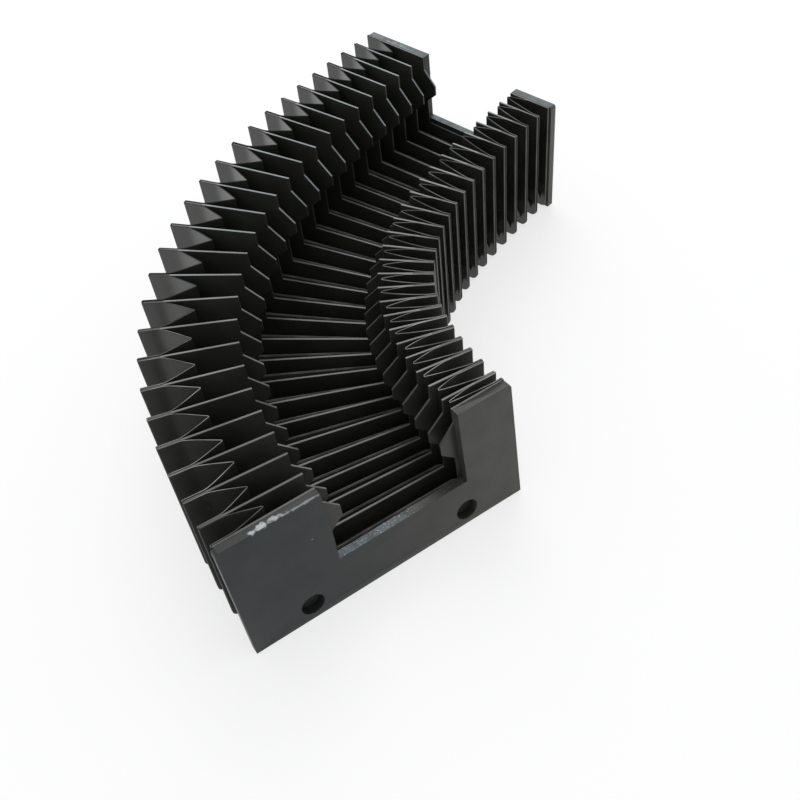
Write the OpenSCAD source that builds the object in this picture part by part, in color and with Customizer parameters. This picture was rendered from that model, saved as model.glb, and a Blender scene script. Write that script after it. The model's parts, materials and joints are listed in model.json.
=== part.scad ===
// Bellows way cover for a linear guide rail, lying with its rail channel up and bent to one side.
// A row of U-shaped plastic leaves carries one pleated cloth skin between two end plates.

/* [Leaves] */
// Width of a leaf across both arms
leaf_w = 64.8; // [56:0.2:80]
// Height of a leaf from its bottom edge to the arm tops
leaf_h = 31.2; // [28:0.2:40]
// Thickness of the sheet that the leaves are cut from
leaf_t = 0.5; // [0.3:0.1:1]
// Width of the left arm at its top
left_arm = 21.4; // [16:0.1:24]
// Width of the right arm at its top
right_arm = 12.4; // [12.1:0.1:16]
// Height of the web under the channel
web_h = 10.5; // [10:0.1:13]
// Radius of the two bottom corners of a leaf
leaf_corner_r = 1.2; // [0.4:0.1:2]

/* [Channel lips] */
// Height of the plain channel wall above a lip
lip_drop = 3.8; // [2:0.1:5]
// How far a lip reaches into the channel
lip_reach = 3.8; // [1:0.1:5]
// Height of the slope above the lip's face
lip_slope = 4; // [1:0.1:5]
// Height of the lip's flat face
lip_face = 2.8; // [1:0.1:4]
// Height of the slope below the lip's face
lip_under = 2.7; // [1:0.1:4]
// How far the wall below a lip stands inside the wall above it
heel_reach = 0.8; // [0:0.1:1]

/* [Cloth] */
// Thickness of the coated cloth
cloth_t = 0.25; // [0.15:0.05:0.5]
// Thickness of the glue film between a leaf and the cloth or an end plate
glue_t = 0.05; // [0.02:0.01:0.1]
// Depth of a fold in the arms, from a leaf's edge to the valley
fold_depth = 11.6; // [9:0.1:12]
// Depth of a fold under the channel
floor_depth = 9.6; // [8:0.1:9.9]
// Depth over which the cloth is glued to the faces of a leaf
glue_depth = 4.8; // [3:0.1:7]
// How far a corner gusset spreads past the mean fold depth
gusset_spread = 3; // [1:0.1:6]
// Half width of a valley's rounding, as a share of the pitch there
valley_share = 0.14; // [0.08:0.01:0.2]

/* [End plates] */
// Thickness of an end plate
plate_t = 2; // [1.5:0.1:6]
// How far an end plate stands out past the cloth
plate_proud = 0.3; // [0.2:0.1:1]
// Radius of the two top outer corners of an end plate
plate_corner_r = 0.8; // [0.5:0.1:4]
// Height of an end plate's notch floor above its bottom edge
notch_floor_h = 12.5; // [11:0.1:14]
// Diameter of a screw hole
hole_d = 5.2; // [3.2:0.1:6]
// Distance between the two screw holes
hole_spacing = 38; // [24:0.5:48]
// Height of the screw holes above the plate's bottom edge
hole_h = 4.2; // [3.5:0.1:8]

/* [Bend] */
// Number of folds from the front leaf to the rear leaf
folds = 25; // [18:1:30]
// Turn of the first fold, in degrees
front_turn = 2.3; // [0:0.1:3]
// Turn of the sharpest fold, in degrees
peak_turn = 4.9; // [0:0.1:5]
// Turn of the last fold, in degrees
rear_turn = 0.7; // [0:0.1:3]
// Fold at which the bend is sharpest, counted from the front
peak_fold = 8; // [4:1:14]
// Pitch of the leaves at both ends, at their middle
end_pitch = 5.2; // [4.8:0.1:9]
// How much the pitch grows halfway along
swell_pitch = 1.2; // [0:0.1:3]
// Sideways slip of each leaf against the one before, in degrees off square
side_slip = 2.7; // [0:0.1:4]
// Angle by which the front end plate leans back over the leaves
front_lean = 6; // [0:0.5:6]

/* [Hidden] */
$fn = 48;
cut_past = 1;
corner_steps = 4;

// Cloth and glue outside a leaf's edge, and a leaf's height above the table
edge_out = glue_t + cloth_t;
lift = edge_out + plate_proud;
plate_w = leaf_w + 2 * lift;
plate_h = leaf_h + lift;
// Distance from the front plate's face to the middle of the leaf glued behind it
front_stack = plate_t + glue_t + leaf_t / 2;
// Where that leaf's middle stands at half its height
front_middle = front_stack * cos(front_lean) + (lift + leaf_h / 2) * sin(front_lean);
// Edges of the channel at the arm tops
channel_left = left_arm - leaf_w / 2;
channel_right = leaf_w / 2 - right_arm;

function leaf_name(k) = str("leaf_", k < 9 ? "0" : "", k + 1);

// Smooth rise from 0 to 1
function ease(t) = (1 - cos(180 * t)) / 2;

// Turn and pitch between leaf k - 1 and leaf k
function turn(k) =
    let (at = k - 0.5)
    at <= peak_fold
        ? front_turn + (peak_turn - front_turn) * ease(at / peak_fold)
        : peak_turn + (rear_turn - peak_turn) * ease((at - peak_fold) / (folds - peak_fold));
function pitch(k) =
    let (along = (k - 0.5) / folds)
    end_pitch + swell_pitch * 4 * along * (1 - along);

// Place of leaf k seen from above: x and y of its middle, and its heading
function next_leaf(from, k) =
    let (way = from[2] - turn(k) / 2 + side_slip)
    [from[0] - sin(way) * pitch(k), from[1] + cos(way) * pitch(k), from[2] - turn(k)];
function leaf_place(k) = k == 0 ? [0, front_middle, 0] : next_leaf(leaf_place(k - 1), k);
path = [for (k = [0:folds]) leaf_place(k)];

// A point across, behind and above the front plate's bottom front edge, leaned back with the plate
function front_point(across, behind, above) = [
    across,
    behind * cos(front_lean) + above * sin(front_lean),
    (plate_t - behind) * sin(front_lean) + above * cos(front_lean)
];

// A point of leaf k's own plane, at flat = [across, above its bottom edge], moved behind the plane
function leaf_point(k, flat, behind) =
    k == 0
        ? front_point(flat[0], front_stack + behind, flat[1] + lift)
        : [
            path[k][0] + flat[0] * cos(path[k][2]) - behind * sin(path[k][2]),
            path[k][1] + flat[0] * sin(path[k][2]) + behind * cos(path[k][2]),
            flat[1] + lift
        ];

// Middle of the whole cover seen from above, which is the part's origin
cloth_side = leaf_w / 2 + edge_out;
cloth_face = leaf_t / 2 + edge_out;
rear_face = leaf_t / 2 + glue_t + plate_t;
corners = concat(
    [for (side = [-1, 1], above = [0, plate_h]) front_point(side * plate_w / 2, 0, above)],
    [for (k = [1:folds], side = [-1, 1], face = [-1, 1])
        leaf_point(k, [side * cloth_side, 0], face * cloth_face)],
    [for (side = [-1, 1]) leaf_point(folds, [side * plate_w / 2, 0], rear_face)]
);
function middle(axis) =
    let (all = [for (c = corners) c[axis]])
    (min(all) + max(all)) / 2;
origin = [middle(0), middle(1), 0];

// Points of an arc, from one angle to another
function arc(centre, r, from, to) = [
    for (i = [0:corner_steps])
        let (a = from + (to - from) * i / corner_steps)
        centre + r * [cos(a), sin(a)]
];

// Channel wall from the arm top to the floor: how far it stands in the channel, and its height
lip_top = leaf_h - lip_drop;
lip_bottom = lip_top - lip_slope - lip_face;
channel_wall = [
    [0, leaf_h],
    [0, lip_top],
    [lip_reach, lip_top - lip_slope],
    [lip_reach, lip_bottom],
    [heel_reach, lip_bottom - lip_under],
    [heel_reach, web_h]
];
last_step = len(channel_wall) - 1;

leaf_outline = concat(
    [[-leaf_w / 2, leaf_h]],
    [for (p = channel_wall) [channel_left + p[0], p[1]]],
    [for (i = [last_step:-1:0]) [channel_right - channel_wall[i][0], channel_wall[i][1]]],
    [[leaf_w / 2, leaf_h]],
    arc([leaf_w / 2 - leaf_corner_r, leaf_corner_r], leaf_corner_r, 0, -90),
    arc([leaf_corner_r - leaf_w / 2, leaf_corner_r], leaf_corner_r, 270, 180)
);

plate_outline = concat(
    arc([plate_corner_r - plate_w / 2, plate_h - plate_corner_r], plate_corner_r, 180, 90),
    [[channel_left, plate_h], [channel_left, notch_floor_h]],
    [[channel_right, notch_floor_h], [channel_right, plate_h]],
    arc([plate_w / 2 - plate_corner_r, plate_h - plate_corner_r], plate_corner_r, 90, 0),
    [[plate_w / 2, 0], [-plate_w / 2, 0]]
);

// Cloth columns round one corner, from the arm top to the flat under the web. Each has its point on
// the leaf's edge, its point in the valley and its way inwards, all measured from the outer corner.
// The gusset's tip keeps the cloth about as long in the valley as at the edge.
mean_depth = (fold_depth + floor_depth) / 2;
gusset_run = mean_depth + gusset_spread;
gusset_in = mean_depth - (sqrt(2 * pow(gusset_run, 2) - pow(gusset_spread, 2)) - gusset_spread) / 2;
gusset_tip = [gusset_in, gusset_in];
corner_columns = [
    [[0, leaf_h], [fold_depth, leaf_h], [1, 0]],
    [[0, gusset_run], [fold_depth, gusset_run], [1, 0]],
    [[0, gusset_run / 2], ([fold_depth, gusset_run] + gusset_tip) / 2, [1, 0]],
    [[0, 0], gusset_tip, [1, 1]],
    [[gusset_run / 2, 0], ([gusset_run, floor_depth] + gusset_tip) / 2, [0, 1]],
    [[gusset_run, 0], [gusset_run, floor_depth], [0, 1]]
];
half_columns = len(corner_columns);
// side is -1 round the left corner and 1 round the right one
function from_corner(side, column) = [
    [side * (leaf_w / 2 - column[0][0]), column[0][1]],
    [side * (leaf_w / 2 - column[1][0]), column[1][1]],
    [-side * column[2][0], column[2][1]]
];
columns = concat(
    [for (column = corner_columns) from_corner(-1, column)],
    [for (j = [half_columns - 1:-1:0]) from_corner(1, corner_columns[j])]
);

// Share of the way to the valley over which a column is glued to the leaf
most_glued = 0.6;
function glued_share(column) = min(glue_depth / norm(column[1] - column[0]), most_glued);

// Rows of the cloth as [inner point, outer point] of each column. face is -1 in front of a leaf, 1 behind.
// The cloth starts and ends flush with the leaf faces that are glued to the end plates.
function wrap_row(k, face) =
    let (at_plate = (k == 0 && face < 0) || (k == folds && face > 0))
    [for (c = columns) [
        leaf_point(k, c[0] - c[2] * glue_t, face * (leaf_t / 2 + (at_plate ? 0 : glue_t))),
        leaf_point(k, c[0] - c[2] * edge_out, face * (leaf_t / 2 + (at_plate ? 0 : edge_out)))
    ]];
function glued_row(k, face) =
    [for (c = columns)
        let (flat = c[0] + (c[1] - c[0]) * glued_share(c))
        [
            leaf_point(k, flat, face * (leaf_t / 2 + glue_t)),
            leaf_point(k, flat, face * (leaf_t / 2 + edge_out))
        ]
    ];
// Valley between leaf k and the next, side -1 or 1 of its middle
function valley_point(k, flat, share) =
    let (here = leaf_point(k, flat, 0), there = leaf_point(k + 1, flat, 0))
    here + (there - here) * (0.5 + share);
function valley_row(k, side) =
    [for (c = columns)
        let (outer = c[1] - (c[1] - c[0]) * cloth_t / norm(c[1] - c[0]))
        [valley_point(k, c[1], side * valley_share), valley_point(k, outer, side * valley_share / 2)]
    ];
rows = [
    for (k = [0:folds])
        each concat(
            [wrap_row(k, -1), wrap_row(k, 1)],
            k < folds ? [glued_row(k, 1), valley_row(k, -1), valley_row(k, 1), glued_row(k + 1, -1)] : []
        )
];

// Points of the inner side row by row, then of the outer side, and the two triangles of each cell
cloth_rows = len(rows);
cloth_columns = len(columns);
cloth_points = [for (layer = [0, 1], row = rows, pair = row) pair[layer] - origin];
function at(layer, row, column) = (layer * cloth_rows + row) * cloth_columns + column;
function cell(a, b, c, d) = [[a, b, c], [a, c, d]];
last_row = cloth_rows - 1;
last_column = cloth_columns - 1;
cloth_faces = concat(
    [for (i = [0:last_row - 1], j = [0:last_column - 1])
        each cell(at(0, i, j), at(0, i, j + 1), at(0, i + 1, j + 1), at(0, i + 1, j))],
    [for (i = [0:last_row - 1], j = [0:last_column - 1])
        each cell(at(1, i + 1, j), at(1, i + 1, j + 1), at(1, i, j + 1), at(1, i, j))],
    [for (i = [0:last_row - 1])
        each cell(at(0, i + 1, 0), at(1, i + 1, 0), at(1, i, 0), at(0, i, 0))],
    [for (i = [0:last_row - 1])
        each cell(at(0, i, last_column), at(1, i, last_column),
            at(1, i + 1, last_column), at(0, i + 1, last_column))],
    [for (j = [0:last_column - 1])
        each cell(at(0, 0, j), at(1, 0, j), at(1, 0, j + 1), at(0, 0, j + 1))],
    [for (j = [0:last_column - 1])
        each cell(at(0, last_row, j + 1), at(1, last_row, j + 1), at(1, last_row, j), at(0, last_row, j))]
);

// Stands a flat drawing up, with its thickness going back from y = 0
module upright(thickness) {
    translate([0, thickness, 0])
        rotate([90, 0, 0])
            children();
}

// Frame of the front plate's bottom front edge
module on_front() {
    translate([0, 0, plate_t * sin(front_lean)] - origin)
        rotate([-front_lean, 0, 0])
            children();
}

// Frame of leaf k's middle plane, at the table
module on_leaf(k) {
    translate([path[k][0], path[k][1], 0] - origin)
        rotate([0, 0, path[k][2]])
            children();
}

module end_plate() {
    upright(plate_t)
        difference() {
            linear_extrude(plate_t)
                polygon(plate_outline);
            for (side = [-1, 1])
                translate([side * hole_spacing / 2, hole_h, -cut_past])
                    cylinder(d = hole_d, h = plate_t + 2 * cut_past);
        }
}

module leaf_sheet() {
    translate([0, -leaf_t / 2, lift])
        upright(leaf_t)
            linear_extrude(leaf_t)
                polygon(leaf_outline);
}

module front_end_plate() {
    color("#474845")
        on_front()
            end_plate();
}

module rear_end_plate() {
    color("#474845")
        on_leaf(folds)
            translate([0, leaf_t / 2 + glue_t, 0])
                end_plate();
}

// The front leaf leans with its plate, and the others stand upright along the bend
module leaf(k) {
    color("#23231f")
        if (k == 0)
            on_front()
                translate([0, front_stack, 0])
                    leaf_sheet();
        else
            on_leaf(k)
                leaf_sheet();
}

module cloth() {
    color("#161614")
        polyhedron(cloth_points, cloth_faces);
}

front_end_plate();
rear_end_plate();
cloth();
for (k = [0:folds])
    leaf(k);
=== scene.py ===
"""Bellows way cover for a guide rail: the looks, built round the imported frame, in metres."""
import json
import math

import bpy
import numpy as np
from mathutils import Matrix, Vector


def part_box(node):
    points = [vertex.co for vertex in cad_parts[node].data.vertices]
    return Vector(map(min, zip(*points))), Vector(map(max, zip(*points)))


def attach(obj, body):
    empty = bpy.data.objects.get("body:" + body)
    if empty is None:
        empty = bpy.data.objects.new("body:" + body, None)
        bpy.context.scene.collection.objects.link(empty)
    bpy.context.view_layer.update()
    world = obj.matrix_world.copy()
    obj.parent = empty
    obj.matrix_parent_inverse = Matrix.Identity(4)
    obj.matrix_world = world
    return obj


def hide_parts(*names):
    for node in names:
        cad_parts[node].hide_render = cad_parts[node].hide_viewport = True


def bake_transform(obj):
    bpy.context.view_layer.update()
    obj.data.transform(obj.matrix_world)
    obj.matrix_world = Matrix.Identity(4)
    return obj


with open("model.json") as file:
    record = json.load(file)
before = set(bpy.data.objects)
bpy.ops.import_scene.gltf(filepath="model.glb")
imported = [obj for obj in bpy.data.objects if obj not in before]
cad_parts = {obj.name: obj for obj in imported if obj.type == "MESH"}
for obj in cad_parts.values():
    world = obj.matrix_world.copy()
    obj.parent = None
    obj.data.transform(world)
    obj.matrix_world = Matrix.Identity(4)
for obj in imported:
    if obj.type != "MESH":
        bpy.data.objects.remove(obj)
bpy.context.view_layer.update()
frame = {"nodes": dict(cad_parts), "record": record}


# Stiffener leaves. Each is a U stamped from thin black plastic sheet, with a lip on both channel walls that
# hooks under the rail's head. The stamping leaves a paler, duller cut edge all round, and where the edge
# faces up it is painted paler still, as a highlight of the light from above. The first and the last are glued
# to the end plates, and the others only hold the cloth open.
leaf_names = sorted(name for name in frame["nodes"] if name.startswith("leaf_"))
leaf_width = 0.0648
leaf_height = 0.0312
leaf_thick = 0.0005
leaf_corner = 0.0012
cut_bevel = 0.00005
channel_left = -0.011
channel_right = 0.020
web_height = 0.0105
# Corners of a channel wall, from the arm top to the floor: how far they stand in the channel, and how high
wall_reach = np.array([0, 0, 0.0038, 0.0038, 0.0008, 0.0008])
wall_height = np.array([leaf_height, 0.0274, 0.0234, 0.0206, 0.0179, web_height])
# How far in from its outer edge a leaf is covered by the cloth, and how pale its cut edge is there
covered = 0.0046
covered_pale = 0.2
# How pale the open cut edges are at some shares of the row, front to rear: the channel floor at its left and
# right end, and the left and the right arm top. The slope of the right lip is the same in every leaf, and is
# painted dimmer, as shade, since it faces away from the light.
floor_shares = [0, 0.3, 0.6, 1]
floor_pale = [[0.9, 0.8, 0.3, 0.3], [0.4, 0.8, 0.9, 0.4]]
top_shares = [0, 0.04, 0.12, 0.2, 0.96, 1]
top_pale = [[0.3, 0.4, 0.4, 1, 1, 0.3], [0.3, 1, 1, 1, 1, 0.3]]
right_slope_painted_shade = 0.12
# Points round a leaf's corner and along its bottom, and the angle in degrees past which its edges stay sharp
corner_steps = 6
bottom_steps = 5
leaf_sharp = 20
sheet_black = (0.027, 0.027, 0.023, 1)
sheet_grey = (0.037, 0.037, 0.032, 1)
dust_grey = (0.25, 0.25, 0.23, 1)
# Colours of the dull and the bright spots of a cut edge, at the front of the row and at its rear, where the
# bluer, brighter colour is a painted reflection of the sky
edge_dull_and_sky = [(0.10, 0.10, 0.095, 1), (0.13, 0.15, 0.155, 1)]
edge_bright_and_sky = [(0.19, 0.19, 0.18, 1), (0.24, 0.275, 0.29, 1)]


def leaf_frame(name, to_rear):
    """Frame of a leaf, read from its solid: the thinnest way through its points, turned to the rear, is its
    normal, up is the vertical less its part along the normal, across is their cross product, and the origin
    is the middle of the bottom edge."""
    merged_digits = 7
    mesh = frame["nodes"][name].data
    points = np.empty(3 * len(mesh.vertices))
    mesh.vertices.foreach_get("co", points)
    points = np.unique(points.reshape(-1, 3).round(merged_digits), axis=0)
    normal = np.linalg.svd(points - points.mean(0), full_matrices=False)[2][2]
    normal = normal if normal @ to_rear > 0 else -normal
    up = np.array([0, 0, 1]) - normal * normal[2]
    up = up / np.linalg.norm(up)
    axes = np.array([np.cross(normal, up), up, normal])
    low = (points @ axes.T).min(0)
    high = (points @ axes.T).max(0)
    origin = np.array([(low[0] + high[0]) / 2, low[1], (low[2] + high[2]) / 2]) @ axes
    return origin, axes


def on_leaf(place, flat, behind):
    """Points at flat = (across, up) in a leaf's plane, moved behind it along its normal."""
    origin, (across, up, normal) = place
    behind = np.broadcast_to(behind, flat.shape[:-1])
    return origin + flat[..., :1] * across + flat[..., 1:] * up + behind[..., None] * normal


def flat_points(across, up):
    """Points in a leaf's plane from their places across and up, one of which may be the same for all."""
    return np.stack(np.broadcast_arrays(across, up), axis=-1)


def quarter_turn(steps):
    """Angles from 0 to 90 degrees in equal steps, in radians."""
    return np.radians(np.linspace(0, 90, steps))


def grid_quads(index):
    """Quads of a grid of point numbers, facing the way of its columns crossed with its rows."""
    cells = [index[:-1, :-1], index[:-1, 1:], index[1:, 1:], index[1:, :-1]]
    return np.stack(cells, axis=-1).reshape(-1, 4)


def add_piece(name, points, faces, marks, sharp_past):
    """A mesh object from points and faces, with a face attribute for each of the marks. It is shaded smooth,
    apart from edges with an angle of more than sharp_past degrees."""
    mesh = bpy.data.meshes.new(name)
    mesh.from_pydata(points.reshape(-1, 3).tolist(), [], faces)
    for mark, values in marks.items():
        attribute = mesh.attributes.new(mark, "FLOAT", "FACE")
        attribute.data.foreach_set("value", np.asarray(values, np.float32))
    mesh.shade_smooth()
    mesh.set_sharp_from_angle(angle=math.radians(sharp_past))
    piece = bpy.data.objects.new(name, mesh)
    bpy.context.scene.collection.objects.link(piece)
    return piece


def leaf_edges():
    """Matching points of the leaf's inner and outer edge. Down both arms they lie at the same heights. Round
    the web the inner point runs along the channel floor, and the outer one round the corners and the
    bottom."""
    half = leaf_width / 2
    arm_heights = np.insert(wall_height, 1, leaf_height - cut_bevel)
    arm_reach = np.insert(wall_reach, 1, 0)
    quarter = quarter_turn(corner_steps)
    turn = leaf_corner * flat_points(1 - np.cos(quarter), 1 - np.sin(quarter))
    turn_left = turn + [-half, 0]
    turn_right = (turn * [-1, 1] + [half, 0])[::-1]
    bottom = flat_points(np.linspace(channel_left, channel_right, bottom_steps), 0)
    web_outer = np.concatenate([turn_left, bottom, turn_right])
    web_share = (np.arange(len(web_outer)) + 1) / (len(web_outer) + 1)
    floor_width = channel_right - channel_left - 2 * wall_reach[-1]
    web_inner = flat_points(channel_left + wall_reach[-1] + floor_width * web_share, web_height)
    left_inner = flat_points(channel_left + arm_reach, arm_heights)
    right_inner = flat_points(channel_right - arm_reach, arm_heights)[::-1]
    left_outer = flat_points(-half, arm_heights)
    right_outer = (left_outer * [-1, 1])[::-1]
    inner = np.concatenate([left_inner, web_inner, right_inner])
    outer = np.concatenate([left_outer, web_outer, right_outer])
    return inner, outer


def leaf_marks(name, rows):
    """How pale each strip of a leaf is, one row for each step along the U, and how pale its two arm tops are.
    Round the bar the strips are the front face, the outer edge, the back face and the inner edge. The faces
    have 0 and the cut edges 1, or less at the arm tops, along the channel floor and on the right lip's
    slope, where the lower value is painted shade."""
    row_share = leaf_names.index(name) / (len(leaf_names) - 1)
    floor_ends = [np.interp(row_share, floor_shares, pale) for pale in floor_pale]
    tops = [np.interp(row_share, top_shares, pale) for pale in top_pale]
    mark = np.tile([0.0, 0, 1, 1, 1, 0, 0, 1, 1, 1], (rows, 1))
    arm_tops = [0, -1]
    covered_strips = slice(1, 6)
    open_strips = slice(6, None)
    inner_strips = slice(7, None)
    floor = slice(len(wall_height), -len(wall_height))
    right_slope = -3
    mark[arm_tops, 0] = 1
    mark[arm_tops, covered_strips] = covered_pale
    mark[arm_tops, open_strips] = np.array(tops)[:, None]
    mark[floor, inner_strips] = np.linspace(*floor_ends, len(mark[floor]))[:, None]
    # Painted shade: the right lip's slope faces away from the light and is made dimmer.
    mark[right_slope, inner_strips] = right_slope_painted_shade
    return mark, tops


def leaf_sheet(name):
    """A thin bar with bevelled edges, reaching from the leaf's inner edge to its outer edge, is carried along
    the U and closed at the arm tops, where it shrinks by the bevel."""
    inner, outer = leaf_edges()
    across = outer - inner
    length = np.linalg.norm(across, axis=1, keepdims=True)
    across = across / length
    cover = outer - across * np.minimum(covered, length / 2)
    shrink = np.zeros((len(inner), 1))
    shrink[[0, -1]] = cut_bevel
    inner = inner + across * shrink
    outer = outer - across * shrink
    inside = inner + across * cut_bevel
    outside = outer - across * cut_bevel
    half = leaf_thick / 2 - shrink[:, 0]
    low = half - cut_bevel
    flat = np.stack([inside, cover, outside, outer, outer, outside, cover, inside, inner, inner], axis=1)
    behind = np.stack([-half, -half, -half, -low, low, half, half, half, low, -low], axis=1)
    points = on_leaf(leaf_places[name], flat, behind)
    index = np.arange(behind.size).reshape(behind.shape)
    quads = grid_quads(np.concatenate([index, index[:, :1]], axis=1))
    glued_cap = [1, 2, 3, 4, 5, 6]
    open_cap = [6, 7, 8, 9, 0, 1]
    caps = [index[0, glued_cap[::-1]], index[0, open_cap[::-1]], index[-1, glued_cap], index[-1, open_cap]]
    faces = quads.tolist() + [cap.tolist() for cap in caps]
    mark, tops = leaf_marks(name, len(index) - 1)
    cut_edge = np.append(mark, [covered_pale, tops[0], covered_pale, tops[1]])
    return add_piece(name + "_sheet", points, faces, {"cut_edge": cut_edge}, leaf_sharp)


def wire(tree, kind, inputs=None, **settings):
    """Adds a shader node, with its settings, and sets or links its inputs."""
    made = tree.nodes.new(kind)
    for key, value in settings.items():
        setattr(made, key, value)
    for key, value in (inputs or {}).items():
        if isinstance(value, bpy.types.NodeSocket):
            tree.links.new(value, made.inputs[key])
        else:
            made.inputs[key].default_value = value
    return made


def blend_colour(tree, share, one, other):
    """Colour that goes from one to the other as share goes from 0 to 1."""
    return wire(tree, "ShaderNodeMix", {0: share, 6: one, 7: other}, data_type="RGBA").outputs[2]


def span(tree, value, low, high, to_low=0.0, to_high=1.0):
    """Maps a value smoothly from the stretch between low and high to that between to_low and to_high."""
    inputs = {"Value": value, "From Min": low, "From Max": high, "To Min": to_low, "To Max": to_high}
    return wire(tree, "ShaderNodeMapRange", inputs, interpolation_type="SMOOTHSTEP").outputs[0]


def times(tree, one, other):
    """Product of two values."""
    return wire(tree, "ShaderNodeMath", {0: one, 1: other}, operation="MULTIPLY").outputs[0]


def noise(tree, where, scale, detail):
    """Cloudy value that changes from place to place."""
    return wire(tree, "ShaderNodeTexNoise", {"Vector": where, "Scale": scale, "Detail": detail}).outputs[0]


def parts_of(tree, vector):
    """The X, Y and Z of a vector."""
    return wire(tree, "ShaderNodeSeparateXYZ", {0: vector}).outputs


def new_group(name, inputs, outputs):
    """An empty shader node group with a vector input and float sockets, and its two end nodes."""
    tree = bpy.data.node_groups.new(name, "ShaderNodeTree")
    tree.interface.new_socket("Vector", in_out="INPUT", socket_type="NodeSocketVector")
    for socket in inputs:
        tree.interface.new_socket(socket, in_out="INPUT", socket_type="NodeSocketFloat")
    for socket in outputs:
        tree.interface.new_socket(socket, in_out="OUTPUT", socket_type="NodeSocketFloat")
    return tree, tree.nodes.new("NodeGroupInput").outputs, tree.nodes.new("NodeGroupOutput").inputs


def sheet_grain_group():
    """Calendered plastic sheet: a cloudy shade a few millimetres wide, and a fine pebbled height."""
    tree, given, out = new_group("sheet_grain", ["Cloud Scale", "Pebble Scale"], ["Cloud", "Height"])
    cloud = noise(tree, given["Vector"], given["Cloud Scale"], detail=4)
    pebble = noise(tree, given["Vector"], given["Pebble Scale"], detail=2)
    tree.links.new(span(tree, cloud, 0.35, 0.68), out["Cloud"])
    tree.links.new(pebble, out["Height"])
    return tree


def dust_group():
    """Sparse dust: round specks in the cells of a Voronoi pattern, kept only in a few of the cells."""
    tree, given, out = new_group("dust_specks", ["Scale", "Share"], ["Mask"])
    cells = wire(tree, "ShaderNodeTexVoronoi", {"Vector": given["Vector"], "Scale": given["Scale"]})
    near = span(tree, cells.outputs["Distance"], 0.16, 0.06)
    chosen = wire(tree, "ShaderNodeSeparateColor", {0: cells.outputs["Color"]})
    kept = wire(tree, "ShaderNodeMath", {0: chosen.outputs[0], 1: given["Share"]}, operation="LESS_THAN")
    tree.links.new(times(tree, near, kept.outputs[0]), out["Mask"])
    return tree


def grain_and_dust(tree, where, cloud_scale, pebble_scale, dust_scale, dust_share):
    """Both groups in a material, with its own values: the grain's cloud and height, and the dust's mask."""
    grain = wire(tree, "ShaderNodeGroup", {
        "Vector": where, "Cloud Scale": cloud_scale, "Pebble Scale": pebble_scale,
    }, node_tree=sheet_grain).outputs
    dust = wire(tree, "ShaderNodeGroup", {
        "Vector": where, "Scale": dust_scale, "Share": dust_share,
    }, node_tree=dust_specks).outputs
    return grain["Cloud"], grain["Height"], dust["Mask"]


def new_material(name):
    """An empty node material: its tree, its surface shader and its object coordinates."""
    material = bpy.data.materials.new(name)
    material.use_nodes = True
    tree = material.node_tree
    tree.nodes.clear()
    surface = tree.nodes.new("ShaderNodeBsdfPrincipled")
    wire(tree, "ShaderNodeOutputMaterial", {"Surface": surface.outputs[0]})
    return material, tree, surface, tree.nodes.new("ShaderNodeTexCoord")


def finish_surface(tree, surface, colour, rough, height, strength, distance):
    """Gives a surface its colour, its roughness and the bumps of a height pattern."""
    bump = wire(tree, "ShaderNodeBump", {"Height": height, "Strength": strength, "Distance": distance})
    tree.links.new(colour, surface.inputs["Base Color"])
    tree.links.new(rough, surface.inputs["Roughness"])
    tree.links.new(bump.outputs[0], surface.inputs["Normal"])


def leaf_finish():
    """Black satin sheet with a faint cloud. Its stamped edges are paler, and painted paler still where they
    face up, as a highlight, and bluer towards the rear, as a painted reflection of the sky.
    """
    material, tree, surface, at = new_material("leaf_sheet_black")
    here = at.outputs["Object"]
    cloud, height, dust = grain_and_dust(
        tree, here, cloud_scale=90, pebble_scale=4200, dust_scale=700, dust_share=0.012)
    face = blend_colour(tree, cloud, sheet_black, sheet_grey)
    face = blend_colour(tree, times(tree, dust, 0.4), face, dust_grey)
    # Painted reflection of the sky: the cut edges turn bluer and brighter towards the rear.
    to_rear = span(tree, parts_of(tree, here)["Y"], -0.030, 0.040)
    edge = blend_colour(tree, cloud, blend_colour(tree, to_rear, *edge_dull_and_sky),
                        blend_colour(tree, to_rear, *edge_bright_and_sky))
    # Painted highlight: the cut edges' paleness fades out where they do not face up.
    facing = parts_of(tree, at.outputs["Normal"])
    cut = wire(tree, "ShaderNodeAttribute", attribute_name="cut_edge").outputs["Fac"]
    pale = times(tree, cut, span(tree, facing["Z"], 0.25, 0.65, to_low=0.06))
    rough = span(tree, cloud, 0, 1, to_low=0.34, to_high=0.46)
    finish_surface(tree, surface, blend_colour(tree, pale, face, edge), rough,
                   height, strength=0.06, distance=0.0002)
    surface.inputs["Specular IOR Level"].default_value = 0.35
    return material


leaf_middles = np.array([np.mean(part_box(name), axis=0) for name in leaf_names])
to_rears = np.gradient(leaf_middles, axis=0)
leaf_places = {name: leaf_frame(name, to_rear) for name, to_rear in zip(leaf_names, to_rears)}
sheet_grain = sheet_grain_group()
dust_specks = dust_group()
leaf_material = leaf_finish()
bodies = frame["record"]["behaviour"]["bodies"]
node_body = {node: body for body, nodes in bodies.items() for node in nodes}
for name in leaf_names:
    leaf = leaf_sheet(name)
    leaf.data.materials.append(leaf_material)
    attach(leaf, node_body[name])
    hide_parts(name)


# Cloth. One length of black coated cloth is glued over the outer edges of all leaves and folded in between
# them. Each fold is two pieces here, the right arm and the rest, that run between their two leaves. At the
# corners the fold spreads into a mitred gusset, and at the arm tops the cloth ends in a pale, raw cut edge.
fold_names = list(zip(leaf_names[:-1], leaf_names[1:]))
fold_count = len(fold_names)
cloth_thick = 0.00025
glue_film = 0.00005
arm_depth = 0.0118
floor_depth = 0.0083
mean_depth = (arm_depth + floor_depth) / 2
gusset_spread = 0.003
gusset_run = mean_depth + gusset_spread
# How far apart the columns lie that meet in the gusset's tip
tip_spread = 0.00006
wrap_bend = 0.00026
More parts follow.
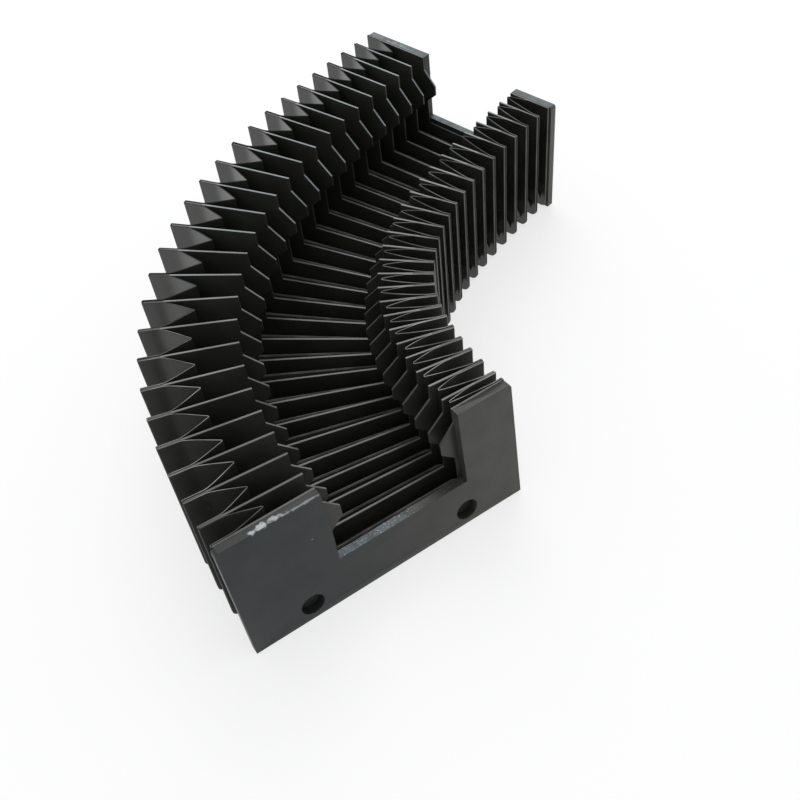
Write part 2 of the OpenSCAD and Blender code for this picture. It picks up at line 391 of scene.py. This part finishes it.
# How far the cloth's outer side stands out from a leaf's edge, and off the middle of the leaf's thickness
cloth_out = glue_film + cloth_thick
cloth_reach = leaf_thick / 2 + glue_film + cloth_thick
# How much of the cloth's thickness is coating
coating_share = 0.5
# At the left and the right of the cover: how far the cloth is glued down the leaf in front of a fold and the
# leaf behind it, and where the valley lies between them. No more than most_glued of the depth is glued.
glued_front = [0.0044, 0.0018]
glued_back = [0.0044, 0.0062]
valley_place = [0.5, 0.62]
most_glued = 0.6
# A leg's curve leaves the leaf at leave and comes to the valley from meet, both as (share of its way across
# still to go, share of the depth), at the left and the right of the cover and along its floor
leave_left = np.array([0.97, 0.24])
leave_right = np.array([0.82, 0.26])
leave_floor = np.array([0.80, 0.28])
meet_left = np.array([0.15, 0.86])
meet_right = np.array([0.22, 0.86])
meet_floor = np.array([0.30, 0.72])
# How late round a corner the floor's curve takes over, and how far up a column points that is the floor's
floor_onset = 4
floor_way = 0.99
# Points down an arm, along one side of a gusset, along the floor and round a wrap, shares of the glued part
# and of a leg's curve, and the angle in degrees past which the cloth's edges stay sharp
arm_steps = 6
gusset_steps = 7
floor_steps = 7
wrap_steps = 4
glued_steps = np.array([[0.03], [0.25], [0.5], [0.75]])
leg_steps = np.append(np.linspace(0, 0.9, 8), [0.96, 1])[:, None]
cloth_sharp = 50
# No fold lies like the next: valleys are off their place or deeper, and raw edges stand a little higher
rng = np.random.default_rng(11)
valley_shift = rng.uniform(-0.16, 0.16, fold_count)
valley_gain = rng.uniform(-0.0004, 0.0002, fold_count)
raw_rise = rng.uniform(-0.00002, 0.00022, (fold_count, 2))
# How shiny the coating is and how pale the raw edges are, left and right, from the first fold to the last:
# handling dulls and frays the front ones
fold_share = np.linspace(0, 1, fold_count)
shine = np.interp(fold_share, [0, 0.2, 0.4], [0.3, 0.4, 1])
raw_pale = np.stack([
    np.interp(fold_share, [0, 0.05, 0.24, 0.36, 1], [0.3, 0.9, 0.9, 0.1, 0.05]),
    np.interp(fold_share, [0, 0.3, 0.5, 1], [0.9, 0.9, 0.5, 0.6]),
], axis=1)
thread_pitch = 0.00042
cloth_black = (0.016, 0.016, 0.014, 1)
cloth_grey = (0.024, 0.024, 0.020, 1)
# Painted highlight along the creases
crease_highlight_grey = (0.13, 0.132, 0.125, 1)
fibre_dull = (0.16, 0.16, 0.15, 1)
fibre_pale = (0.42, 0.42, 0.40, 1)


def corner_columns():
    """Columns of the cloth round one corner, measured from the leaf's outer corner: points on the leaf's
    edge, in the valley, and the way inwards. The gusset's tip lies where the cloth keeps its length."""
    inward = mean_depth - (math.sqrt(2 * gusset_run**2 - gusset_spread**2) - gusset_spread) / 2
    tip = np.array([inward, inward])
    arm = np.linspace(leaf_height, gusset_run, arm_steps)[:-1]
    share = np.linspace(0, 1, gusset_steps)[:-1]
    to_tip = share[:, None]
    quarter = quarter_turn(corner_steps)
    way = flat_points(np.cos(quarter), np.sin(quarter))
    side_edge = flat_points(0, gusset_run + (leaf_corner - gusset_run) * share)
    side_valley = np.array([arm_depth, gusset_run]) * (1 - to_tip) + tip * to_tip
    foot_valley = (np.array([gusset_run, floor_depth]) * (1 - to_tip) + tip * to_tip)[::-1]
    turn_valley = tip - tip_spread * (way - way.mean(0))
    edge = np.concatenate([flat_points(0, arm), side_edge, leaf_corner * (1 - way), side_edge[::-1, ::-1]])
    valley = np.concatenate([flat_points(arm_depth, arm), side_valley, turn_valley, foot_valley])
    sideways = np.tile([1.0, 0.0], (len(arm) + len(share), 1))
    upwards = np.tile([0.0, 1.0], (len(share), 1))
    return edge, valley, np.concatenate([sideways, way, upwards])


def piece_columns(side):
    """Columns of one piece of a fold, from its arm top: on the right down the arm and round the corner, and
    on the left round the other corner and along the bottom to where the right piece ends."""
    edge, valley, way = corner_columns()
    turned = int(np.argmax(way[:, 1] > floor_way))
    flip = np.array([-1, 1])
    half = np.array([leaf_width / 2, 0])
    right = [edge * flip + half, valley * flip + half, way * flip]
    if side > 0:
        return [part[:turned + 1] for part in right]
    left = [edge - half, valley - half, way]
    bottom = np.linspace(gusset_run, leaf_width - gusset_run, floor_steps)[1:-1]
    between = [
        flat_points(bottom, 0) - half,
        flat_points(bottom, floor_depth) - half,
        np.tile([0.0, 1.0], (len(bottom), 1)),
    ]
    right_foot = [part[turned:][::-1] for part in right]
    return [np.concatenate(parts) for parts in zip(left, between, right_foot)]


def wrap_rows(place, edge, way, face):
    """Rows of the outer side round a leaf's edge, from the middle of its thickness to its face: straight,
    then a quarter turn. face is 1 behind the leaf and -1 in front of it."""
    quarter = quarter_turn(wrap_steps)
    level = np.append(0, cloth_reach - wrap_bend + wrap_bend * np.sin(quarter))
    back = np.append(0, wrap_bend * (1 - np.cos(quarter)))
    flat = edge - way * (cloth_out - back)[:, None, None]
    return on_leaf(place, flat, face * np.broadcast_to(level[:, None], flat.shape[:-1]))


def leg_rows(places, edge, tip, glued, sunk, across):
    """Rows of a leg's outer side, at the given shares of the depth below the glued part and of the way across
    from the front leaf's back to the back leaf's front."""
    flat = edge + (tip - edge) * (glued + (1 - glued) * sunk)[..., None]
    start = on_leaf(places[0], flat, cloth_reach)
    end = on_leaf(places[1], flat, -cloth_reach)
    return start + (end - start) * across[..., None]


def fold_surface(fold, side):
    """Outer side of one piece of a fold. Each column starts on the front leaf's edge, is glued down that
    leaf, crosses to the next leaf on two cubic curves that meet in the valley, and runs up it. With the side
    come the number of its valley row, and which of its columns lie along the channel floor."""
    places = [leaf_places[name] for name in fold_names[fold]]
    edge, valley, way = piece_columns(side)
    rise = np.zeros((len(edge), 2))
    rise[0, 1] = raw_rise[fold, (side + 1) // 2]
    edge = edge + rise
    valley = valley + rise
    depth = np.linalg.norm(valley - edge, axis=1)
    tip = edge + (valley - edge) * (1 + (valley_gain[fold] - cloth_thick) / depth)[:, None]
    to_right = edge[:, 0] / leaf_width + 0.5
    glued = [
        np.minimum(np.interp(to_right, [0, 1], ends) / depth, most_glued)
        for ends in (glued_front, glued_back)
    ]
    floor = way[:, 1:] ** floor_onset
    leave = leave_left + (leave_right - leave_left) * to_right[:, None]
    leave = leave + (leave_floor - leave) * floor
    meet = meet_left + (meet_right - meet_left) * to_right[:, None]
    meet = meet + (meet_floor - meet) * floor
    ahead = 1 - leg_steps
    weights = [ahead**3, 3 * ahead**2 * leg_steps, 3 * ahead * leg_steps**2, leg_steps**3]
    gone = 1 - weights[0] - weights[1] * leave[:, 0] - weights[2] * meet[:, 0]
    sunk = weights[1] * leave[:, 1] + weights[2] * meet[:, 1] + weights[3]
    centre = np.interp(to_right, [0, 1], valley_place) + valley_shift[fold] / 2
    held = [edge + (tip - edge) * (share * glued_steps)[..., None] for share in glued]
    rows = [
        wrap_rows(places[0], edge, way, 1),
        on_leaf(places[0], held[0], cloth_reach),
        leg_rows(places, edge, tip, glued[0], sunk, centre * gone),
        leg_rows(places, edge, tip, glued[1], sunk, 1 - (1 - centre) * gone)[-2::-1],
        on_leaf(places[1], held[1][::-1], -cloth_reach),
        wrap_rows(places[1], edge, way, -1)[::-1],
    ]
    valley_row = sum(len(part) for part in rows[:3]) - 1
    over_edge = edge - way * cloth_out
    if fold == 0:
        rows.insert(0, on_leaf(places[0], over_edge, -leaf_thick / 2)[None])
        valley_row += 1
    if fold == fold_count - 1:
        rows.append(on_leaf(places[1], over_edge, leaf_thick / 2)[None])
    outer = np.concatenate(rows)
    on_floor = way[:, 1] > floor_way
    return (outer, valley_row, on_floor) if side < 0 else (outer[:, ::-1], valley_row, on_floor[::-1])


def cloth_marks(fold, side, shape, valley_row, on_floor):
    """Marks of a piece's outer side, its inner side and the rest. The satin side is dull where it goes over
    a leaf's edge. The creases, which the material paints paler as highlights, run along both wraps outside
    and along the floor's valleys inside."""
    rows, columns = shape
    turn_rows = wrap_steps - 1
    first_bend = 1 + int(fold == 0)
    last_bend = rows - wrap_steps - 1 - int(fold == fold_count - 1)
    satin, creased = np.zeros((2, 2, rows - 1, columns - 1))
    satin[0, first_bend:last_bend + turn_rows] = shine[fold]
    creased[0, [first_bend + turn_rows // 2, last_bend + turn_rows // 2]] = 1
    creased[1, valley_row - 1:valley_row + 1] = on_floor[1:] & on_floor[:-1]
    raw_strips = [0, raw_pale[fold, (side + 1) // 2]]
    raw_edge = np.tile(raw_strips if side < 0 else raw_strips[::-1], rows - 1)
    return satin.ravel(), creased.ravel(), raw_edge


def cloth_piece(fold, side):
    """The fold's outer side and, one thickness inside it along the surface normal, its inner side, closed at
    the rims, with a line along the raw rim where the coating ends. The UV map is the length of cloth along
    both ways of the grid, in metres. With the piece come its flat size and area."""
    outer, valley_row, on_floor = fold_surface(fold, side)
    normal = np.cross(np.gradient(outer, axis=0), np.gradient(outer, axis=1))
    inner = outer - cloth_thick * normal / np.linalg.norm(normal, axis=2, keepdims=True)
    rows, columns = outer.shape[:2]
    top, under = np.arange(2 * rows * columns).reshape(2, rows, columns)
    raw_end = 0 if side < 0 else -1
    core = 2 * rows * columns + np.arange(rows)
    core_points = outer[:, raw_end] + (inner - outer)[:, raw_end] * coating_share
    raw_columns = (top[:, 0], core, under[:, 0]) if side < 0 else (under[:, -1], core, top[:, -1])
    seam_columns = (under[:, -1], top[:, -1]) if side < 0 else (top[:, 0], under[:, 0])
    grids = [
        top[:, ::-1], under, np.stack(seam_columns, axis=1), np.stack([top[0], under[0]]),
        np.stack([under[-1], top[-1]]), np.stack(raw_columns, axis=1),
    ]
    quads = np.concatenate([grid_quads(grid) for grid in grids])
    satin, creased, raw_edge = cloth_marks(fold, side, (rows, columns), valley_row, on_floor)
    marks = {mark: np.zeros(len(quads)) for mark in ("satin", "creased", "raw_edge")}
    marks["satin"][:len(satin)] = satin
    marks["creased"][:len(creased)] = creased
    marks["raw_edge"][-len(raw_edge):] = raw_edge
    name = f"cloth_fold_{fold + 1:02d}_" + ("left" if side < 0 else "right")
    points = np.concatenate([outer.reshape(-1, 3), inner.reshape(-1, 3), core_points])
    piece = add_piece(name, points, quads.tolist(), marks, cloth_sharp)
    down = np.linalg.norm(np.diff(outer, axis=0), axis=2).mean(1)
    over = np.linalg.norm(np.diff(outer, axis=1), axis=2).max(0)
    lengths = np.stack(np.meshgrid(np.append(0, np.cumsum(over)), np.append(0, np.cumsum(down))), axis=-1)
    point_uv = np.concatenate([np.tile(lengths.reshape(-1, 2), (2, 1)), lengths[:, raw_end]])
    corners = np.empty(len(piece.data.loops), np.int32)
    piece.data.loops.foreach_get("vertex_index", corners)
    layer = piece.data.uv_layers.new(name="cloth_lengths")
    layer.data.foreach_set("uv", point_uv[corners].astype(np.float32).ravel())
    cells = np.cross(np.diff(outer[:, :-1], axis=0), np.diff(outer[:-1], axis=1))
    return piece, (over.sum(), down.sum()), np.linalg.norm(cells, axis=2).sum()


def cloth_finish():
    """Black woven cloth. The outer side has a satin coating over a fine weave, the inner side is dull, the
    creases carry a patchy painted highlight, and the raw edge shows pale fibres beside the coating."""
    material, tree, surface, at = new_material("coated_cloth_black")
    lengths = parts_of(tree, at.outputs["UV"])
    threads = []
    for axis in (0, 1):
        angle = times(tree, lengths[axis], 2 * math.pi / thread_pitch)
        threads.append(wire(tree, "ShaderNodeMath", {0: angle}, operation="SINE").outputs[0])
    weave = span(tree, times(tree, *threads), -1, 1)
    cloud, _, dust = grain_and_dust(
        tree, at.outputs["Object"], cloud_scale=160, pebble_scale=5200, dust_scale=650, dust_share=0.012)
    glossy, creased, raw = (
        wire(tree, "ShaderNodeAttribute", attribute_name=mark).outputs["Fac"]
        for mark in ("satin", "creased", "raw_edge")
    )
    # Painted highlight: the creases are made paler, patchy with the cloud.
    crease_highlight = times(tree, creased, span(tree, cloud, 0, 1, to_low=0.5))
    cloth = blend_colour(tree, cloud, cloth_black, cloth_grey)
    cloth = blend_colour(tree, times(tree, dust, 0.4), cloth, dust_grey)
    cloth = blend_colour(tree, crease_highlight, cloth, crease_highlight_grey)
    fibres = blend_colour(tree, cloud, fibre_dull, fibre_pale)
    satin = span(tree, weave, 0, 1, to_low=0.16, to_high=0.24)
    rough = wire(tree, "ShaderNodeMapRange", {"Value": glossy, "To Min": 0.8, "To Max": satin}).outputs[0]
    finish_surface(tree, surface, blend_colour(tree, raw, cloth, fibres), rough,
                   weave, strength=0.03, distance=0.00005)
    specular = span(tree, glossy, 0, 1, to_low=0.1, to_high=0.7)
    tree.links.new(specular, surface.inputs["Specular IOR Level"])
    return material


cloth_material = cloth_finish()
for fold, (front_leaf, back_leaf) in enumerate(fold_names):
    for side in (-1, 1):
        cloth, flat_size, flat_area = cloth_piece(fold, side)
        cloth.data.materials.append(cloth_material)
        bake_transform(cloth)
        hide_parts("cloth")


# End plates. Both are sawn from 2 mm charcoal plastic sheet, notched for the rail and drilled for two screws,
# and glued to the outermost leaves. Their edges are broken by hand, and the front one's are scuffed pale.
plate_thick = 0.002
plate_height = 0.0318
notch_floor = 0.0125
# How far a plate's bottom lies below its leaf's
plate_drop = 0.0006
# How wide the edges are broken, in how many steps, and from which angle in degrees
edge_break = 0.00015
edge_break_steps = 3
edge_break_from = 35
# Corners closer than this are one, in the solid's loose triangles
weld_distance = 1e-6
# Colours of the dark and the light clouds on the face, at its left and at its right. The change from the
# darker, bluer left to the lighter, browner right is a painted reflection.
cloud_dark_and_reflection = [(0.012, 0.0135, 0.015, 1), (0.039, 0.038, 0.033, 1)]
cloud_light_and_reflection = [(0.025, 0.0275, 0.0285, 1), (0.062, 0.061, 0.053, 1)]
plate_dust = (0.35, 0.35, 0.33, 1)
# Painted shade for faces that point up, which the light from above would make paler than the front face
painted_top_shade = (0.006, 0.006, 0.006, 1)
# Blue-grey of the saw cut: its own paler tone and a painted reflection of the sky on cuts that face up
slate_and_sky_dark = (0.030, 0.036, 0.040, 1)
slate_and_sky_light = (0.085, 0.112, 0.122, 1)
saw_brown = (0.030, 0.027, 0.021, 1)
scuff_pale = (0.40, 0.44, 0.44, 1)
# Rubbed patches on the left arm's top: middle and radii in the plate's own axes, and how pale
arm_patches = [
    ((-0.0252, 0.0005, plate_height), (0.0006, 0.0006, 0.0005), 0.8),
    ((-0.0232, 0.0007, plate_height), (0.0010, 0.0008, 0.0005), 0.9),
    ((-0.0203, 0.0007, plate_height), (0.0018, 0.0006, 0.0004), 0.7),
    ((-0.0150, 0.0003, plate_height), (0.0036, 0.0003, 0.0004), 0.4),
]


def plate_rotation(place):
    """A plate's turn, from the axes of the leaf glued to it: across, behind and above."""
    across, up, normal = place[1]
    return Matrix(np.array([across, normal, up]).T.tolist()).to_euler()


def larger(tree, one, other):
    """The larger of two values."""
    return wire(tree, "ShaderNodeMath", {0: one, 1: other}, operation="MAXIMUM").outputs[0]


def arm_rubs(tree, turned, ragged):
    """How rubbed the left arm's top is: patches that fade out from a middle over their own radii, with a
    ragged rim. Two are short, one is longer, and a faint one runs on to the notch along the front edge."""
    rubs = 0.0
    for middle, radius, pale in arm_patches:
        away = wire(tree, "ShaderNodeVectorMath", {0: turned, 1: middle}, operation="SUBTRACT").outputs[0]
        scaled = wire(tree, "ShaderNodeVectorMath", {0: away, 1: radius}, operation="DIVIDE").outputs[0]
        reach = wire(tree, "ShaderNodeVectorMath", {0: scaled}, operation="LENGTH").outputs["Value"]
        torn = wire(tree, "ShaderNodeMath", {0: reach, 1: ragged}, operation="ADD").outputs[0]
        rubs = larger(tree, span(tree, torn, 1.3, 0.6, to_high=pale), rubs)
    return rubs


def plate_finish(name, place, behind, scuff, top_cut):
    """Charcoal sheet with a cloudy satin face and a few specks of dust, lighter and browner to the right and
    bluer to the left as a painted reflection, and painted darker where it faces up, as shade. Pale scuffs
    break along the top of the left arm, and the notch floor is a saw cut with flecks, blue-grey from a
    painted reflection of the sky where the cut faces up. top_cut tells how much of that saw cut the arm tops
    show too."""
    material, tree, surface, at = new_material(name)
    turned = wire(tree, "ShaderNodeMapping", {
        "Vector": at.outputs["Object"],
        "Location": tuple(on_leaf(place, np.array([0, -plate_drop]), behind)),
        "Rotation": plate_rotation(place),
    }, vector_type="TEXTURE").outputs[0]
    where = parts_of(tree, turned)
    cloud, height, dust = grain_and_dust(
        tree, turned, cloud_scale=130, pebble_scale=3600, dust_scale=330, dust_share=0.02)
    # Painted reflection: the face grows lighter and browner to the right and bluer to the left.
    to_right = span(tree, where["X"], -0.020, 0.034)
    dark = blend_colour(tree, to_right, *cloud_dark_and_reflection)
    light = blend_colour(tree, to_right, *cloud_light_and_reflection)
    upward = span(tree, parts_of(tree, at.outputs["Normal"])["Z"], 0.35, 0.75)
    face = blend_colour(tree, cloud, dark, light)
    face = blend_colour(tree, times(tree, dust, 0.7), face, plate_dust)
    # Painted shade: faces that point up are darkened.
    face = blend_colour(tree, times(tree, upward, 0.6), face, painted_top_shade)
    near_top = span(tree, where["Z"], plate_height - 0.0005, plate_height - 0.0002)
    notch = times(tree, span(tree, where["Z"], notch_floor - 0.0008, notch_floor - 0.0003),
                  span(tree, where["Z"], notch_floor + 0.003, notch_floor + 0.001))
    saw_cut = times(tree, upward, larger(tree, notch, times(tree, near_top, top_cut)))
    saw_side = span(tree, where["X"], 0.002, 0.010)
    patchy = span(tree, noise(tree, turned, 300, detail=6), 0.30, 0.66)
    # Painted reflection of the sky: the up-facing saw cut turns blue-grey.
    slate_and_sky = blend_colour(tree, patchy, slate_and_sky_dark, slate_and_sky_light)
    saw_colour = blend_colour(tree, times(tree, saw_side, 1 - top_cut), slate_and_sky, saw_brown)
    face = blend_colour(tree, times(tree, saw_cut, 0.9), face, saw_colour)
    ragged = span(tree, noise(tree, turned, 1100, detail=4), 0.3, 0.7, to_low=-0.3, to_high=0.5)
    flecks = span(tree, noise(tree, turned, 2400, detail=4), 0.57, 0.68, to_high=0.7)
    fewer = span(tree, saw_side, 0, 1, to_low=1.0, to_high=0.25)
    floor_scuff = times(tree, times(tree, saw_cut, flecks), fewer)
    worn = larger(tree, arm_rubs(tree, turned, ragged), floor_scuff)
    colour = blend_colour(tree, times(tree, worn, scuff), face, scuff_pale)
    rough = span(tree, cloud, 0, 1, to_low=0.42, to_high=0.52)
    finish_surface(tree, surface, colour, rough, height, strength=0.08, distance=0.0002)
    surface.inputs["Specular IOR Level"].default_value = 0.35
    return material


# Each plate with its leaf, its front face's place behind that leaf, how scuffed its top is, and how sawn its
# top is, which brings the saw cut's painted sky reflection there too
glued_face = leaf_thick / 2 + glue_film
end_plates = [
    ("front_end_plate", leaf_names[0], -glued_face - plate_thick, 1.0, 0.0),
    ("rear_end_plate", leaf_names[-1], glued_face, 0.35, 1.0),
]
for node, leaf_name, behind, scuff, top_cut in end_plates:
    plate = frame["nodes"][node]
    charcoal = plate_finish(node + "_charcoal", leaf_places[leaf_name], behind, scuff, top_cut)
    plate.data.materials.clear()
    plate.data.materials.append(charcoal)
    plate.modifiers.new("weld", "WELD").merge_threshold = weld_distance
    broken = plate.modifiers.new("broken_edges", "BEVEL")
    broken.width = edge_break
    broken.segments = edge_break_steps
    broken.limit_method = "ANGLE"
    broken.angle_limit = math.radians(edge_break_from)


# Table. A plain white sheet under the cover, which takes its soft shadow. Most of what the camera sees of it
# is plain white, so it burns out as in an overexposed picture.
table_half = 3.0
table_drop = 0.0001
table_colour = (0.87, 0.868, 0.85, 1)
burnt_out = 0.7
plain_white = (1, 1, 1, 1)


def seen_directly(tree):
    """1 for what the camera sees by itself, in a reflection or through glass, and 0 for light on the
    object."""
    path = wire(tree, "ShaderNodeLightPath").outputs
    mirrored = larger(tree, path["Is Glossy Ray"], path["Is Transmission Ray"])
    return larger(tree, path["Is Camera Ray"], mirrored)


table_ends = (-table_half, table_half)
table_corners = [(x, y, -table_drop) for x in table_ends for y in table_ends]
table_mesh = bpy.data.meshes.new("table")
table_mesh.from_pydata(table_corners, [], [(0, 2, 3, 1)])
table = bpy.data.objects.new("table", table_mesh)
bpy.context.scene.collection.objects.link(table)
table_white, table_tree, table_surface, _ = new_material("table_white")
table_surface.inputs["Base Color"].default_value = table_colour
table_surface.inputs["Roughness"].default_value = 0.7
table_surface.inputs["Specular IOR Level"].default_value = 0.1
paper = wire(table_tree, "ShaderNodeEmission", {"Color": plain_white, "Strength": 1.0})
table_look = wire(table_tree, "ShaderNodeMixShader", {
    0: times(table_tree, seen_directly(table_tree), burnt_out),
    1: table_surface.outputs[0],
    2: paper.outputs[0],
})
wire(table_tree, "ShaderNodeOutputMaterial", {"Surface": table_look.outputs[0]}).is_active_output = True
table_mesh.materials.append(table_white)


# Light. A bright room: a white sky, brightest overhead and behind to the right, with one wide soft lamp there
# as its window. The camera itself sees plain white all round.
bright_way = (0.30, 0.55, 0.78)
sky_colour = (0.96, 0.985, 1.0, 1)
window_place = Vector((0.30, 0.52, 0.62))
window_size = 0.6
window_power = 3.0

world = bpy.data.worlds.new("room")
bpy.context.scene.world = world
world.use_nodes = True
sky = world.node_tree
sky.nodes.clear()
sky_way = wire(sky, "ShaderNodeTexCoord").outputs["Generated"]
bright_side = wire(sky, "ShaderNodeVectorMath", {0: sky_way, 1: bright_way}, operation="DOT_PRODUCT")
sky_level = span(sky, bright_side.outputs["Value"], -0.5, 0.9, to_low=0.52, to_high=1.08)
glow = wire(sky, "ShaderNodeBackground", {"Color": sky_colour, "Strength": sky_level})
white = wire(sky, "ShaderNodeBackground", {"Color": plain_white, "Strength": 1.0})
room = wire(sky, "ShaderNodeMixShader", {0: seen_directly(sky), 1: glow.outputs[0], 2: white.outputs[0]})
wire(sky, "ShaderNodeOutputWorld", {"Surface": room.outputs[0]})

lamp = bpy.data.lights.new("window", "AREA")
lamp.shape = "SQUARE"
lamp.size = window_size
lamp.energy = window_power
window = bpy.data.objects.new("window", lamp)
window.location = window_place
window.rotation_euler = (-window_place).to_track_quat("-Z", "Y").to_euler()
bpy.context.scene.collection.objects.link(window)


# Camera. It stands in front, to the left and well above, as the photograph was taken, and is a little tilted.
# It looks at a point on the table.
view_azimuth = math.radians(-28.279)
view_elevation = math.radians(48.685)
view_roll = math.radians(-7.293)
view_distance = 0.238067
view_target = Vector((-0.007833, -0.030423, 0))
view_lens = 44.786
sensor_width = 36
nearest_seen = 0.005

back = Vector((
    math.sin(view_azimuth) * math.cos(view_elevation),
    -math.cos(view_azimuth) * math.cos(view_elevation),
    math.sin(view_elevation),
))
level = (-back).cross(Vector((0, 0, 1))).normalized()
upright = level.cross(-back)
right = level * math.cos(view_roll) + upright * math.sin(view_roll)
up = upright * math.cos(view_roll) - level * math.sin(view_roll)
view_turn = Matrix((right, up, back)).transposed().to_4x4()
camera_data = bpy.data.cameras.new("camera")
camera_data.lens = view_lens
camera_data.sensor_width = sensor_width
camera_data.clip_start = nearest_seen
camera = bpy.data.objects.new("camera", camera_data)
camera.matrix_world = Matrix.Translation(view_target + back * view_distance) @ view_turn
bpy.context.scene.collection.objects.link(camera)
bpy.context.scene.camera = camera
bpy.context.scene.view_settings.view_transform = "Standard"
